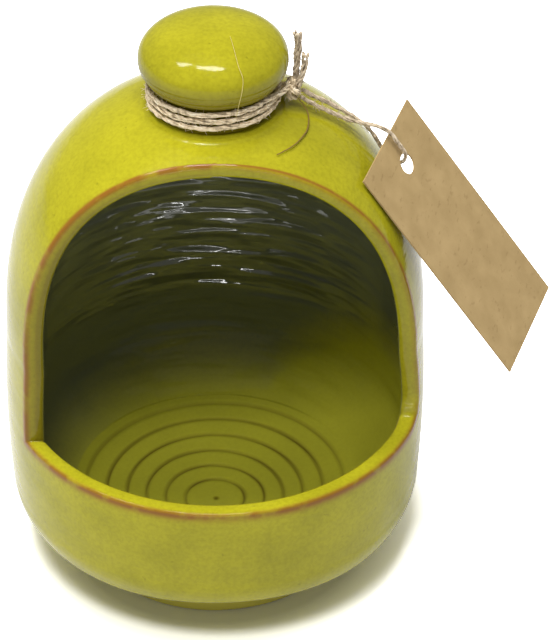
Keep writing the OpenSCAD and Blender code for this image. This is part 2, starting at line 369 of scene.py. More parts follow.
def build_side(mesh, side, end_s, wobble, inside):
    """One side of the wall. Returns its rows below, beside and above the mouth, and the mouth's edge."""
    right = rim_lengths(side, RIM_ROWS, MOUTH_RIGHT_Y)
    left = rim_lengths(side, RIM_ROWS, MOUTH_LEFT_Y)
    lip_s = left[0]
    fraction = np.linspace(0, 1, BACK_COLS + 1)
    weight = (0.5 + 0.5 * np.cos(2 * math.pi * fraction)) ** BEND_POWER
    from_rim = np.minimum(fraction, 1 - fraction)
    calm_rim = np.clip(from_rim / SMOOTH_SHARE, 0, 1) ** 2

    def half_angle(s, low_y):
        r, z = side.at(s)
        return math.acos(min(1.0, float(cut_depth(z, low_y)) / float(r)))

    def lay_row(s, angles, calm=None, edge=None):
        r, z = side.at(s)
        if calm is None:
            calm = np.ones(len(angles))
        if edge is None:
            edge = np.zeros(len(angles))
        to_right = risen(np.sin(angles), *RIGHT_REACH)
        to_left = risen(-np.sin(angles), *LEFT_REACH)
        to_back = risen(-np.cos(angles), *BACK_REACH)
        # Painted shade of the wall inside, set by height and by side of the pot
        shade = inside * risen(z - SHADE_RIGHT * to_right + SHADE_LEFT * to_left, SHADE_Z, SHADE_FADE)
        ripple = inside * np.interp(z, RIPPLE_Z, RIPPLE_LEVEL) * calm * to_back
        out, up = side.normal_at(s)
        ids = []
        for j, a in enumerate(angles):
            # The turned outside is shaded from its profile, the ridged inside from its faces
            normal = (0, 0, 0) if inside else ring_point(out[j], up[j], a)
            point = ring_point(r[j] + wobble(z[j], a) * calm[j], z[j], a)
            # The lower wall inside gets pooled glaze with painted light wherever its painted shade is absent
            ids.append(mesh.add(point, normal, edge=edge[j], inside=shade[j], ridged=ripple[j],
                                pooled=inside * (1 - shade[j])))
        return ids

    def brown(distance, width):
        """Bared clay on the wall beside the edge, fading with the distance from it."""
        return (0.0 if inside else 1.0) * np.exp(-(distance / width) ** 2)

    notch_right = half_angle(right[0], MOUTH_RIGHT_Y)
    notch_left = half_angle(left[0], MOUTH_LEFT_Y)
    back = notch_right + (2 * math.pi - notch_left - notch_right) * fraction
    front = np.linspace(-notch_left, notch_right, FRONT_COLS + 1)[1:-1]
    low_angles = np.concatenate([back, front])
    lip_r = float(side.at(lip_s)[0])
    rise = np.where(front > 0, lip_rise(lip_r * np.cos(front)), 0.0)
    fall = np.clip(1 - fraction / CORNER_SHARE, 0, 1)
    back_s = lip_s + (right[0] - lip_s) * fall * fall * (3 - 2 * fall)
    top_s = np.concatenate([back_s, lip_s + rise])
    calm_low = np.concatenate([calm_rim, np.zeros(len(front))])
    from_side = np.minimum(back - notch_right, back[-1] - back) * lip_r
    from_edge = np.concatenate([from_side, np.zeros(len(front))])
    low = []
    for i in range(LOW_ROWS):
        f = 1 - (1 - i / (LOW_ROWS - 1)) ** CROWD_POWER
        s_row = top_s * f
        bare = brown(np.hypot(top_s - s_row, from_edge), BARE_BELOW)
        low.append(lay_row(s_row, low_angles, calm_low, bare))
    lip_front = low[-1][BACK_COLS + 1:]
    beside = [low[-1][: BACK_COLS + 1]]
    back_top_s = lip_s + (right[-1] - lip_s) * BACK_TOP
    for i in range(1, RIM_ROWS):
        s_back = lip_s + (back_top_s - lip_s) * i / (RIM_ROWS - 1)
        s_rim = np.where(fraction < 0.5, right[i], left[i])
        s_row = weight * s_rim + (1 - weight) * s_back
        if i == RIM_ROWS - 1:
            ids = lay_row(s_row[:-1], 2 * math.pi * fraction[:-1])
            mesh.paint["edge"][ids[0]] = float(brown(0.0, BARE_BESIDE))
            beside.append(ids + [ids[0]])
        else:
            one, two = half_angle(right[i], MOUTH_RIGHT_Y), half_angle(left[i], MOUTH_LEFT_Y)
            angles = one + (2 * math.pi - one - two) * fraction
            away = np.minimum(angles - one, 2 * math.pi - two - angles) * float(side.at(right[i])[0])
            beside.append(lay_row(s_row, angles, calm_rim, brown(away, BARE_BESIDE)))
    above = [beside[-1][:-1]]
    s_first = s_row[:-1]
    for i in range(1, TOP_ROWS):
        s_row = s_first + (end_s - s_first) * i / (TOP_ROWS - 1)
        above.append(lay_row(s_row, 2 * math.pi * fraction[:-1]))
    loop = [row[0] for row in beside] + [row[-1] for row in reversed(beside[:-1])] + lip_front
    return low, beside, above, loop


def no_wobble(z, a):
    return 0.0


# Finger ridges up the inside wall: rise of one turn and height, fine and broad, and where they fade
FINE_RISE, FINE_RIDGE = 8.5, 0.10
BROAD_RISE, BROAD_RIDGE = 19.0, 0.16
RIDGES_FROM_Z, RIDGES_IN = 20.0, 12.0
RIDGES_TO_Z, RIDGES_OUT = 146.0, 20.0


def throwing_rings(z, a):
    """Height of the finger ridges, which rise as they go round."""
    fine = math.sin(2 * math.pi * (z / FINE_RISE) + a) * FINE_RIDGE
    broad = math.sin(2 * math.pi * z / BROAD_RISE + a + 1.3) * BROAD_RIDGE
    starts = min(1.0, max(0.0, (z - RIDGES_FROM_Z) / RIDGES_IN))
    ends = min(1.0, max(0.0, (RIDGES_TO_Z - z) / RIDGES_OUT))
    return (fine + broad) * starts * ends


# A groove's softness as a share of its width, its wander from a true circle and its changes of tone
GROOVE_SHARE = 0.26
RING_WANDER = 0.5
RING_FADE = 0.22
LAST_RING_TONE = 0.6
# Spacing of the floor's rows, the last row's least radius and the dip at the centre
FLOOR_STEP = 0.6
HEART_R = 0.7
HEART_DIP = 0.2


def groove(r):
    """Depth of the floor's ring grooves at a radius, from 0 to 1."""
    depth = 0.0
    ring = RING_FIRST_R
    while ring < FLOOR_R - RING_W:
        depth = max(depth, math.exp(-((r - ring) / (RING_W * GROOVE_SHARE)) ** 2))
        ring += RING_STEP
    return depth


# Soft lines of bared clay across the mouth's edge: strength, place and width, from the outside in
LIP_LINES = ((1.0, 0.0, 0.16), (0.25, 0.95, 0.06))
SIDE_LINES = ((1.0, 0.08, 0.22), (0.2, 0.62, 0.06))
RIGHT_LINE = 0.42
# Painted shade on the edge beside the mouth: all of it, more towards the inside, less at the right and at the
# top, where light catches the edge
SIDE_DARK = 0.3
INNER_DARK = 0.4
INNER_REACH = (0.3, 0.4)
RIGHT_DARK = 0.4
TOP_DARK = 0.25
TOP_DARK_RISE = 1.5
# Power of the edge's round section, its share of height where lip and left side meet, and the corner's start
STRIP_POWER = 2.6
MEETING_RISE = 0.9
CORNER_FROM_X = 20.0
# Left open at the dome's top until the crown closes it
CROWN_GAP = 0.4


def build_body():
    """Whole thrown pot without its foot and knob."""
    mesh = Builder()
    on_dome = outer_side.z > DOME_START_Z
    neck_s = np.interp(-NECK_R, -outer_side.r[on_dome], outer_side.s[on_dome])
    low_o, side_o, top_o, loop_o = build_side(mesh, outer_side, neck_s, no_wobble, 0.0)
    crown_s = inner_side.s[-1] - CROWN_GAP
    low_i, side_i, top_i, loop_i = build_side(mesh, inner_side, crown_s, throwing_rings, 1.0)
    for rows, closed in ((low_o, True), (side_o, False), (top_o, True)):
        mesh.grid(rows, closed, False)
    for rows, closed in ((low_i, True), (side_i, False), (top_i, True)):
        mesh.grid(rows, closed, True)
    # Underside, seat under the neck and the inside of the dome's top
    mesh.fan(mesh.add((0, 0, FOOT_H)), low_o[0], True)
    mesh.fan(mesh.add((0, 0, SEAT_Z)), top_o[-1], False)
    # The inside of the dome's top gets the full painted shade
    mesh.fan(mesh.add((0, 0, INNER_TOP_Z), inside=1.0), top_i[-1], True)
    # Floor with its ring grooves
    base = low_i[0]
    angles = [math.atan2(mesh.points[i][0], -mesh.points[i][1]) for i in base]
    rows = [base]
    for r in np.arange(FLOOR_R - FLOOR_STEP, HEART_R, -FLOOR_STEP):
        row = []
        for a in angles:
            wander = RING_WANDER * (math.sin(a + 0.8) + 0.5 * math.sin(2 * a + r / 6))
            depth = groove(r + wander)
            tone = 1.0 if r < FLOOR_R - RING_STEP else LAST_RING_TONE
            faint = depth * tone * (1 - RING_FADE + RING_FADE * math.sin(3 * a + r))
            point = ring_point(r, dished(r) - RING_DEPTH * depth, a)
            # The whole floor gets the pooled glaze, greener and brightened with painted light
            row.append(mesh.add(point, dark=faint, pooled=1.0))
        rows.append(row)
    mesh.grid(rows, True, False)
    mesh.fan(mesh.add((0, 0, FLOOR_Z - HEART_DIP), dark=1.0), rows[-1], False)
    # Rounded edge between the two sides, round the whole mouth
    rim_count = 2 * RIM_ROWS - 1
    loop_points = [(Vector(mesh.points[o]) + Vector(mesh.points[i])) / 2 for o, i in zip(loop_o, loop_i)]
    right_out = Vector((0, -1, -mouth_slope(MOUTH_RIGHT_Y))).normalized()
    left_out = Vector((0, -1, -mouth_slope(MOUTH_LEFT_Y))).normalized()
    strips = []
    for n, (o, i) in enumerate(zip(loop_o, loop_i)):
        a, b = Vector(mesh.points[o]), Vector(mesh.points[i])
        side_out = right_out if n < RIM_ROWS else left_out
        if n == rim_count - 1:
            out = (side_out + Vector((0, 0, 1))) * MEETING_RISE
        elif loop_points[n].x > CORNER_FROM_X and loop_points[n].z < LIP_Z + MOUTH_ROUND:
            along = loop_points[(n + 1) % len(loop_points)] - loop_points[n - 1]
            out = (b - a).cross(along).normalized()
            if out.dot(Vector((0, -1, 1))) < 0:
                out.negate()
        elif n < rim_count:
            out = side_out
        else:
            out = Vector((0, 0, 1))
        on_lip = n >= rim_count
        on_right = n < RIM_ROWS
        from_top = abs(n - RIM_ROWS + 1) / RIM_ROWS
        row = [o]
        for k in range(1, STRIP):
            f = k / STRIP
            bulge = (1 - abs(2 * f - 1) ** STRIP_POWER) ** (1 / STRIP_POWER)
            point = a.lerp(b, f) + out * (EDGE_ROUND * bulge)
            lines = LIP_LINES if on_lip else SIDE_LINES
            bare = sum(level * math.exp(-((f - centre) / width) ** 2) for level, centre, width in lines)
            # Painted shade across the edge beside the mouth
            dark = 0.0 if on_lip else SIDE_DARK + INNER_DARK * risen(f, *INNER_REACH)
            if on_right:
                bare *= RIGHT_LINE
                dark *= RIGHT_DARK
            dark *= min(1.0, TOP_DARK + TOP_DARK_RISE * from_top)
            row.append(mesh.add(point, edge=min(1.0, bare), dark=dark))
        row.append(i)
        strips.append(row)
    for one, two in zip(strips, strips[1:] + strips[:1]):
        for k in range(STRIP):
            mesh.quad(one[k], one[k + 1], two[k + 1], two[k])
    return mesh


def make_object(name, points, faces, smooth=True):
    data = bpy.data.meshes.new(name)
    data.from_pydata([tuple(p) for p in points], [], [list(f) for f in faces])
    data.update()
    obj = bpy.data.objects.new(name, data)
    bpy.context.scene.collection.objects.link(obj)
    if smooth:
        data.polygons.foreach_set("use_smooth", [True] * len(data.polygons))
    return obj


def face_outward(obj):
    """Turns every face of a closed mesh outward."""
    bm = bmesh.new()
    bm.from_mesh(obj.data)
    bmesh.ops.recalc_face_normals(bm, faces=bm.faces)
    bm.to_mesh(obj.data)
    bm.free()


def painted(obj, name, values):
    layer = obj.data.attributes.new(name, "FLOAT", "POINT")
    layer.data.foreach_set("value", np.asarray(values, dtype=np.float32))


def new_material(name, color, roughness):
    """Material with its node tree and shader. The colour holds until something is linked over it."""
    mat = bpy.data.materials.new(name)
    mat.use_nodes = True
    shader = mat.node_tree.nodes["Principled BSDF"]
    shader.inputs["Base Color"].default_value = (*color, 1)
    shader.inputs["Roughness"].default_value = roughness
    return mat, mat.node_tree, shader


def node(tree, kind, **values):
    item = tree.nodes.new(kind)
    for key, value in values.items():
        setattr(item, key, value)
    return item


def noise(tree, scale, detail=3.0, stretch=None):
    """Noise fixed to the piece, finer with a larger scale."""
    where = node(tree, "ShaderNodeTexCoord")
    tex = node(tree, "ShaderNodeTexNoise")
    tex.inputs["Scale"].default_value = scale
    tex.inputs["Detail"].default_value = detail
    if stretch:
        mapping = node(tree, "ShaderNodeMapping")
        mapping.inputs["Scale"].default_value = stretch
        tree.links.new(where.outputs["Object"], mapping.inputs["Vector"])
        tree.links.new(mapping.outputs["Vector"], tex.inputs["Vector"])
    else:
        tree.links.new(where.outputs["Object"], tex.inputs["Vector"])
    return tex.outputs["Fac"]


def ramp(tree, value, stops):
    """Colours blended between the places given."""
    item = node(tree, "ShaderNodeValToRGB")
    while len(item.color_ramp.elements) < len(stops):
        item.color_ramp.elements.new(0.5)
    for element, (place, color) in zip(item.color_ramp.elements, stops):
        element.position = place
        element.color = (*color, 1)
    tree.links.new(value, item.inputs["Fac"])
    return item.outputs["Color"]


def mix(tree, factor, one, two, blend="MIX"):
    item = node(tree, "ShaderNodeMix", data_type="RGBA", blend_type=blend)
    if isinstance(factor, float):
        item.inputs["Factor"].default_value = factor
    else:
        tree.links.new(factor, item.inputs["Factor"])
    for socket, value in ((item.inputs["A"], one), (item.inputs["B"], two)):
        if isinstance(value, tuple):
            socket.default_value = (*value, 1)
        else:
            tree.links.new(value, socket)
    return item.outputs["Result"]


def attribute(tree, name):
    return node(tree, "ShaderNodeAttribute", attribute_name=name).outputs["Fac"]


def bump(tree, shader, height, distance, strength):
    item = node(tree, "ShaderNodeBump")
    item.inputs["Strength"].default_value = strength
    item.inputs["Distance"].default_value = distance
    tree.links.new(height, item.inputs["Height"])
    tree.links.new(item.outputs["Normal"], shader.inputs["Normal"])
    return item


# Colours of the glaze, clay, twine and card
GLAZE_DULL = (0.285, 0.262, 0.0095)
GLAZE_MID = (0.330, 0.302, 0.0110)
GLAZE_BRIGHT = (0.370, 0.338, 0.0130)
# Painted shade of the wall inside
INSIDE_SHADE = (0.135, 0.150, 0.105)
# Greener pooled glaze, also lightened as painted light on the floor and the lit lower wall inside
POOLED_AND_LIT_GREEN = (0.440, 0.430, 0.040)
EDGE_BROWN = (0.225, 0.092, 0.012)
# Dark brown of the floor's grooves, also used for painted shade on the mouth's edge and under the knob
GROOVE_AND_SHADE_DARK = (0.115, 0.082, 0.008)
FOOT_CLAY = (0.60, 0.53, 0.075)
# Twine in two copies of one colour: lightened with painted light for the wrap and knot in the knob's shade,
# darkened with painted shade for the lead and cut ends
JUTE_PAINTED_LIGHT = ((0.40, 0.31, 0.19), (0.86, 0.71, 0.49), (1.0, 0.90, 0.70))
JUTE_PAINTED_SHADE = ((0.22, 0.165, 0.10), (0.55, 0.445, 0.31), (0.72, 0.61, 0.46))
CARD_DULL = (0.350, 0.240, 0.100)
CARD_BRIGHT = (0.425, 0.297, 0.132)
HUSK = (0.20, 0.125, 0.022)
STRAW = (0.62, 0.50, 0.16)
WHITE = (1, 1, 1)
# How bright the glaze mirrors, outside and on the wet wall inside
GLAZE_SHINE = 0.20
WET_SHINE = 0.95
WET_ROUGHNESS = 0.05
# Share of painted shade, a dark brown, in the knob's colour, on its top and at its underside
UNDER_SHADE_LEAST = 0.05
UNDER_SHADE_MOST = 0.68


def glaze_material(name, shine, with_attributes, under=None, roughness=0.1):
    """Olive glaze, clouded and speckled. The painted values are read only where asked for."""
    mat, tree, shader = new_material(name, GLAZE_MID, roughness)
    shader.inputs["IOR"].default_value = 1.5
    shader.inputs["Specular IOR Level"].default_value = shine
    cloud = ramp(tree, noise(tree, scale=60.0, detail=5.0),
                 [(0.3, GLAZE_DULL), (0.5, GLAZE_MID), (0.72, GLAZE_BRIGHT)])
    grain = ramp(tree, noise(tree, scale=900.0), [(0.3, (0.86, 0.86, 0.84)), (0.62, (1.06, 1.06, 1.06))])
    cloud = mix(tree, 0.85, cloud, grain, "MULTIPLY")
    speck = ramp(tree, noise(tree, scale=520.0, detail=2.0), [(0.22, (0.5, 0.5, 0.5)), (0.30, WHITE)])
    color = mix(tree, 0.5, cloud, speck, "MULTIPLY")
    height = noise(tree, scale=90.0, stretch=(1, 1, 3))
    if under:
        # Painted shade in dark brown on the underside, between two heights
        where = node(tree, "ShaderNodeTexCoord")
        parts = node(tree, "ShaderNodeSeparateXYZ")
        tree.links.new(where.outputs["Object"], parts.inputs["Vector"])
        under_shade = node(tree, "ShaderNodeMapRange")
        under_shade.inputs["From Min"].default_value = under[0]
        under_shade.inputs["From Max"].default_value = under[1]
        under_shade.inputs["To Min"].default_value = UNDER_SHADE_LEAST
        under_shade.inputs["To Max"].default_value = UNDER_SHADE_MOST
        tree.links.new(parts.outputs["Z"], under_shade.inputs["Value"])
        color = mix(tree, under_shade.outputs["Result"], color, GROOVE_AND_SHADE_DARK)
    if with_attributes:
        inside = attribute(tree, "inside")
        # Pooled glaze, with painted light on the floor and the lower wall inside
        color = mix(tree, attribute(tree, "pooled"), color, mix(tree, 0.6, color, POOLED_AND_LIT_GREEN))
        # Painted shade on the wall inside
        color = mix(tree, inside, color, mix(tree, 0.9, color, INSIDE_SHADE))
        patchy = node(tree, "ShaderNodeMath", operation="MULTIPLY")
        tree.links.new(attribute(tree, "edge"), patchy.inputs[0])
        patches = ramp(tree, noise(tree, scale=170.0, detail=5.0), [(0.32, (0.48, 0.48, 0.48)), (0.5, WHITE)])
        tree.links.new(patches, patchy.inputs[1])
        color = mix(tree, patchy.outputs[0], color, EDGE_BROWN)
        # Dark groove lines on the floor, and painted shade on the mouth's edge
        color = mix(tree, attribute(tree, "dark"), color, GROOVE_AND_SHADE_DARK)
        ripples = node(tree, "ShaderNodeMath", operation="MULTIPLY")
        strokes = noise(tree, scale=42.0, detail=1.3, stretch=(0.95, 0.95, 5.0))
        tree.links.new(strokes, ripples.inputs[0])
        tree.links.new(attribute(tree, "ridged"), ripples.inputs[1])
    tree.links.new(color, shader.inputs["Base Color"])
    fine = bump(tree, shader, height, distance=0.0006, strength=0.3)
    if with_attributes:
        coarse = bump(tree, shader, ripples.outputs[0], distance=0.0054, strength=1.0)
        tree.links.new(fine.outputs["Normal"], coarse.inputs["Normal"])
    return mat


def twine_material(name, dark, middle, pale):
    mat, tree, shader = new_material(name, middle, 0.85)
    tone = ramp(tree, noise(tree, scale=700.0, detail=4.0), [(0.28, dark), (0.5, middle), (0.72, pale)])
    tree.links.new(tone, shader.inputs["Base Color"])
    bump(tree, shader, noise(tree, scale=2600.0), distance=0.0002, strength=0.6)
    return mat


def card_material():
    mat, tree, shader = new_material("kraft_card", CARD_BRIGHT, 0.9)
    tone = ramp(tree, noise(tree, scale=160.0, detail=5.0), [(0.3, CARD_DULL), (0.7, CARD_BRIGHT)])
    fleck = ramp(tree, noise(tree, scale=900.0, detail=2.0, stretch=(1, 0.35, 1)),
                 [(0.30, (0.62, 0.56, 0.5)), (0.38, WHITE)])
    tree.links.new(mix(tree, 0.4, tone, fleck, "MULTIPLY"), shader.inputs["Base Color"])
    bump(tree, shader, noise(tree, scale=1500.0), distance=0.0001, strength=0.3)
    return mat


# The painted shade under the knob starts this far above its widest height
UNDER_SHADE_ABOVE = 3.0
glaze = glaze_material("olive_glaze", GLAZE_SHINE, True)
inside_glaze = glaze_material("olive_glaze_inside", WET_SHINE, True, roughness=WET_ROUGHNESS)
knob_shade_heights = ((KNOB_MID_Z + UNDER_SHADE_ABOVE) * MM, UNDER_KNOB_Z * MM)
knob_glaze = glaze_material("olive_glaze_knob", GLAZE_SHINE, False, knob_shade_heights)
# Twine lightened with painted light, and a copy darkened with painted shade
jute_painted_light = twine_material("jute_painted_light", *JUTE_PAINTED_LIGHT)
jute_painted_shade = twine_material("jute_painted_shade", *JUTE_PAINTED_SHADE)
kraft = card_material()
foot_clay = new_material("foot_clay", FOOT_CLAY, 0.2)[0]


def dress(obj, mat, body, slot, *nodes):
    """Gives a piece its material, its body and the solids it stands for. Its slot is not used."""
    obj.data.materials.append(mat)
    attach(obj, body)
    if nodes:
        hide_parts(*nodes)


# Pot body
body_mesh = build_body()
body_points = hand_made(np.array(body_mesh.points)) * MM
body = make_object("thrown_body", body_points, body_mesh.faces)
for layer_name in PAINTED:
    painted(body, layer_name, body_mesh.paint[layer_name])
face_outward(body)
body.data.normals_split_custom_set_from_vertices(body_mesh.normals)
dress(body, glaze, "pot", "glaze_body", "dome_body")
# The wall inside the pot has a wetter glaze above this height, on faces where its painted shade is over half
WET_Z = 48.0
body.data.materials.append(inside_glaze)
inside_shade_values = body_mesh.paint["inside"]
for face in body.data.polygons:
    if min(inside_shade_values[i] for i in face.vertices) > 0.5 and face.center.z > WET_Z * MM:
        face.material_index = 1


def revolve(name, outline, columns=128):
    """Closed turned piece from (r, z) points that start and end on the axis."""
    points, faces = [(0, 0, outline[0][1] * MM)], []
    for r, z in outline[1:-1]:
        for j in range(columns):
            a = 2 * math.pi * j / columns
            points.append((r * math.cos(a) * MM, r * math.sin(a) * MM, z * MM))
    points.append((0, 0, outline[-1][1] * MM))
    rows = len(outline) - 2
    last = len(points) - 1
    for j in range(columns):
        k = (j + 1) % columns
        faces.append((0, 1 + k, 1 + j))
        faces.append((last, 1 + (rows - 1) * columns + j, 1 + (rows - 1) * columns + k))
        for i in range(rows - 1):
            a, b = 1 + i * columns, 1 + (i + 1) * columns
            faces.append((a + j, a + k, b + k, b + j))
    obj = make_object(name, points, faces)
    face_outward(obj)
    return obj


# Rounding at the knob's neck and lower edge, where its side starts, its faint lines and its dome's shape
KNOB_ROUND = 0.6
KNOB_SIDE_UP = 0.7
KNOB_LINE_H = 0.14
KNOB_LINES = 2.2
KNOB_POWER = 2.3


def knob_outline():
    """Section of the neck and knob, from the dome up to the top."""
    points = [(0, SEAT_Z), (NECK_R, SEAT_Z)]
    points += [(NECK_R, SEAT_Z + (UNDER_KNOB_Z - KNOB_ROUND - SEAT_Z) * i / 8) for i in range(1, 9)]
    low_r = KNOB_R - KNOB_DRAW
    for i in range(1, 7):
        a = math.radians(90 * i / 6)
        r = NECK_R + KNOB_ROUND * (1 - math.cos(a))
        points.append((r, UNDER_KNOB_Z - KNOB_ROUND + KNOB_ROUND * math.sin(a)))
    for i in range(0, 7):
        a = math.radians(-90 + 80 * i / 6)
        r = low_r - KNOB_ROUND + KNOB_ROUND * math.cos(a)
        points.append((r, UNDER_KNOB_Z + KNOB_ROUND + KNOB_ROUND * math.sin(a)))
    for i in range(1, 24):
        f = i / 24
        z = UNDER_KNOB_Z + KNOB_SIDE_UP + (KNOB_RISE - KNOB_SIDE_UP) * f
        ridge = KNOB_LINE_H * math.sin(2 * math.pi * KNOB_LINES * f) * math.sin(math.pi * f)
        points.append((low_r + KNOB_DRAW * math.sin(math.radians(90 * f)) + ridge, z))
    for i in range(0, 60):
        a = math.radians(90 * i / 60)
        z = KNOB_MID_Z + KNOB_DOME_H * math.sin(a) ** (2 / KNOB_POWER)
        points.append((KNOB_R * math.cos(a) ** (2 / KNOB_POWER), z))
    points.append((0, KNOB_MID_Z + KNOB_DOME_H))
    return points


knob = revolve("turned_knob", knob_outline())
dress(knob, knob_glaze, "pot", "glaze_knob", "knob")

# The foot and the card are shown as their solids
for cad_name, mat in (("foot_ring", foot_clay), ("swing_tag", kraft)):
    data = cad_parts[cad_name].data
    data.materials.clear()
    data.materials.append(mat)


# Twine
turn_twine = Matrix.Rotation(math.radians(TWINE_TURN), 3, "Z")
card_turn = (turn_twine @ Matrix.Rotation(math.radians(TAG_LIE[2]), 3, "Z")
             @ Matrix.Rotation(math.radians(TAG_LIE[1]), 3, "Y")
             @ Matrix.Rotation(math.radians(TAG_LIE[0]), 3, "X"))
hole = turn_twine @ Vector(HOLE_PLACE)
knot = turn_twine @ Vector((KNOT_X, 0, KNOT_Z))

# The lead from the knot through the card's hole and back, measured from the hole in the card's own turn
LEAD_ROUTE = [
    (-9.2, -7.6, 34.9), (-8, -5.8, 29.5), (-6.4, -4, 24.5), (-4.2, -2.4, 20), (-1.4, -1.2, 16.6),
    (1, -0.4, 13.7), (1.9, 0, 10.6), (2.1, 0, 7.4), (2, 0, 4.8), (1.5, 0, 2.6), (0, 0, 1.3),
    (-1.6, 0, 1.1), (-3.1, 0, 1.9), (-3.9, 0.1, 3.6), (-4.1, 0.3, 5.6), (-4, 0.5, 8),
    (-3.8, 0.7, 12), (-4.2, 0.4, 17), (-5.6, -0.6, 22), (-7.2, -2.6, 28), (-9.3, -5.3, 35.6)]
# How far each end of the lead runs on into the knot's loose fibres
LEAD_IN = 0.3
# Curve points between two points of a route
ROUTE_STEPS = 8
# The two cut ends, from the knot's centre
LONG_ROUTE = [(1, 0.9, 2), (1.1, 0.9, 6), (1.4, 0.7, 11), (1.4, 0.6, 17.4)]
SHORT_ROUTE = [(1.6, -1.2, 1.4), (2.6, -1.2, 4.6), (3.2, -1.2, 8), (3.4, -1.2, 11.8)]


def smooth_route(route):
    """Catmull-Rom curve through the points."""
    p = [Vector(q) for q in route]
    out = []
    for i in range(len(p) - 1):
        a, b, c, d = p[max(i - 1, 0)], p[i], p[i + 1], p[min(i + 2, len(p) - 1)]
        for k in range(ROUTE_STEPS):
            u = k / ROUTE_STEPS
            out.append(0.5 * (2 * b + (c - a) * u + (2 * a - 5 * b + 4 * c - d) * u * u
                              + (3 * b - a - 3 * c + d) * u ** 3))
    out.append(p[-1])
    return out


# How far short of the knot's centre the wound ends stop, and how far they climb to it
END_SHORT = 1.0
END_CLIMB = 1.4


def wrap_point(a):
    """Centre of the wound twine after a turn of a degrees, both ends led out into the knot."""
    last = WRAP_TURNS * 360
    s = 0.0
    if a < END_SWEEP:
        s = 1 - a / END_SWEEP
    elif a > last - END_SWEEP:
        s = 1 - (last - a) / END_SWEEP
    r = WRAP_R + (KNOT_X - WRAP_R - END_SHORT) * math.sin(math.radians(90 * s))
    z = WRAP_Z + TURN_PITCH * a / 360 + (1 if a < last / 2 else -1) * END_CLIMB * s * s
    t = math.radians(a)
    return turn_twine @ Vector((r * math.cos(t), r * math.sin(t), z))


def frames(path):
    """Carries a side direction along a path without twist."""
    n = len(path)
    tangents = [(path[min(i + 1, n - 1)] - path[max(i - 1, 0)]).normalized() for i in range(n)]
    side = tangents[0].orthogonal().normalized()
    out = []
    for t in tangents:
        side = (side - t * side.dot(t)).normalized()
        out.append((t, side, t.cross(side)))
    return out


def sweep(points, faces, path, radii, sides):
    """Adds a closed tube along a path of Vectors in millimetres, with a radius at each of them."""
    start = len(points)
    for i, (t, u, v) in enumerate(frames(path)):
        for k in range(sides):
            a = 2 * math.pi * k / sides
            points.append((path[i] + radii[i] * (math.cos(a) * u + math.sin(a) * v)) * MM)
    n = len(path)
    for i in range(n - 1):
        for k in range(sides):
            a, b = start + i * sides + k, start + i * sides + (k + 1) % sides
            faces.append((a, b, b + sides, a + sides))
    faces.append(tuple(start + k for k in reversed(range(sides))))
    faces.append(tuple(start + (n - 1) * sides + k for k in range(sides)))


# Yarns in the twine: their number, radius, distance from its centre, length of a turn and sides
PLIES = 7
PLY_R = 0.27
PLY_OUT = 0.50
PLY_PITCH = 15.0
PLY_SIDES = 6
# How much a yarn sways, wanders in and out and swells, and the length that frays at a cut end
PLY_SWAY = 0.5
PLY_WANDER = 0.22
PLY_SWELL = 0.22
FRAY_LENGTH = 5.0


def run_lengths(path):
    """Length along a path up to each of its points."""
    run = [0.0]
    for a, b in zip(path, path[1:]):
        run.append(run[-1] + (b - a).length)
    return run


def plied(name, path, size=1.0, fray=0.0):
    """Loose twine: thin yarns that wind slowly and unevenly round each other along the path."""
    points, faces = [], []
    lay = frames(path)
    run = run_lengths(path)
    for ply in range(PLIES):
        strand, sizes = [], []
        phase, drift = rng.uniform(0, 6.28), rng.uniform(0.55, 0.95)
        spread = rng.uniform(0.75, 1.15)
        for i, (t, u, v) in enumerate(lay):
            sway = PLY_SWAY * math.sin(run[i] * drift + phase)
            a = 2 * math.pi * (ply / PLIES + run[i] / PLY_PITCH) + sway
            out = PLY_OUT * size * (spread + PLY_WANDER * math.sin(run[i] * drift * 1.7 + 2 * phase))
            out *= 1 + fray * max(0.0, (run[i] - run[-1] + FRAY_LENGTH) / FRAY_LENGTH) ** 2
            strand.append(path[i] + out * (math.cos(a) * u + math.sin(a) * v))
            sizes.append(PLY_R * size * (1 + PLY_SWELL * math.sin(run[i] * 1.3 * drift + ply * 2)))
        sweep(points, faces, strand, sizes, PLY_SIDES)
    return make_object(name, points, faces)


def resample(path, step):
    """Evenly spaced points along a path."""
    run = run_lengths(path)
    count = max(2, int(run[-1] / step) + 1)
    grid = np.linspace(0, run[-1], count)
    xyz = np.array([tuple(p) for p in path])
    return [Vector(q) for q in np.stack([np.interp(grid, run, xyz[:, k]) for k in range(3)], 1)]


wrap_path = resample([wrap_point(a) for a in range(0, WRAP_TURNS * 360 + 1, 3)], step=0.55)
lead_line = [hole + card_turn @ p for p in smooth_route(LEAD_ROUTE)]
lead_line.insert(0, lead_line[0] + (knot - lead_line[0]).normalized() * LEAD_IN)
lead_line.append(lead_line[-1] + (knot - lead_line[-1]).normalized() * LEAD_IN)
lead_path = resample(lead_line, step=0.5)
long_path = resample([knot + turn_twine @ p for p in smooth_route(LONG_ROUTE)], step=0.5)
short_path = resample([knot + turn_twine @ p for p in smooth_route(SHORT_ROUTE)], step=0.5)

wrap = plied("neck_twine", wrap_path)
dress(wrap, jute_painted_light, "collar", "twine", "neck_wrap")
lead = plied("tag_twine", lead_path, size=0.84)
dress(lead, jute_painted_shade, "lead", "twine", "tag_lead")
long_end = plied("long_end", long_path, size=1.35, fray=0.35)
dress(long_end, jute_painted_shade, "collar", "twine", "tail_long")
short_end = plied("short_end", short_path, size=1.15, fray=0.45)
dress(short_end, jute_painted_shade, "collar", "twine", "tail_short")


# The knot's turns: mean radius, its change, their height, their tip in degrees and the steps round them
KNOT_TURN_R = 2.0
KNOT_TURN_IN = 0.75
KNOT_TURN_H = 1.3
KNOT_TIP = 68
KNOT_STEPS = 180


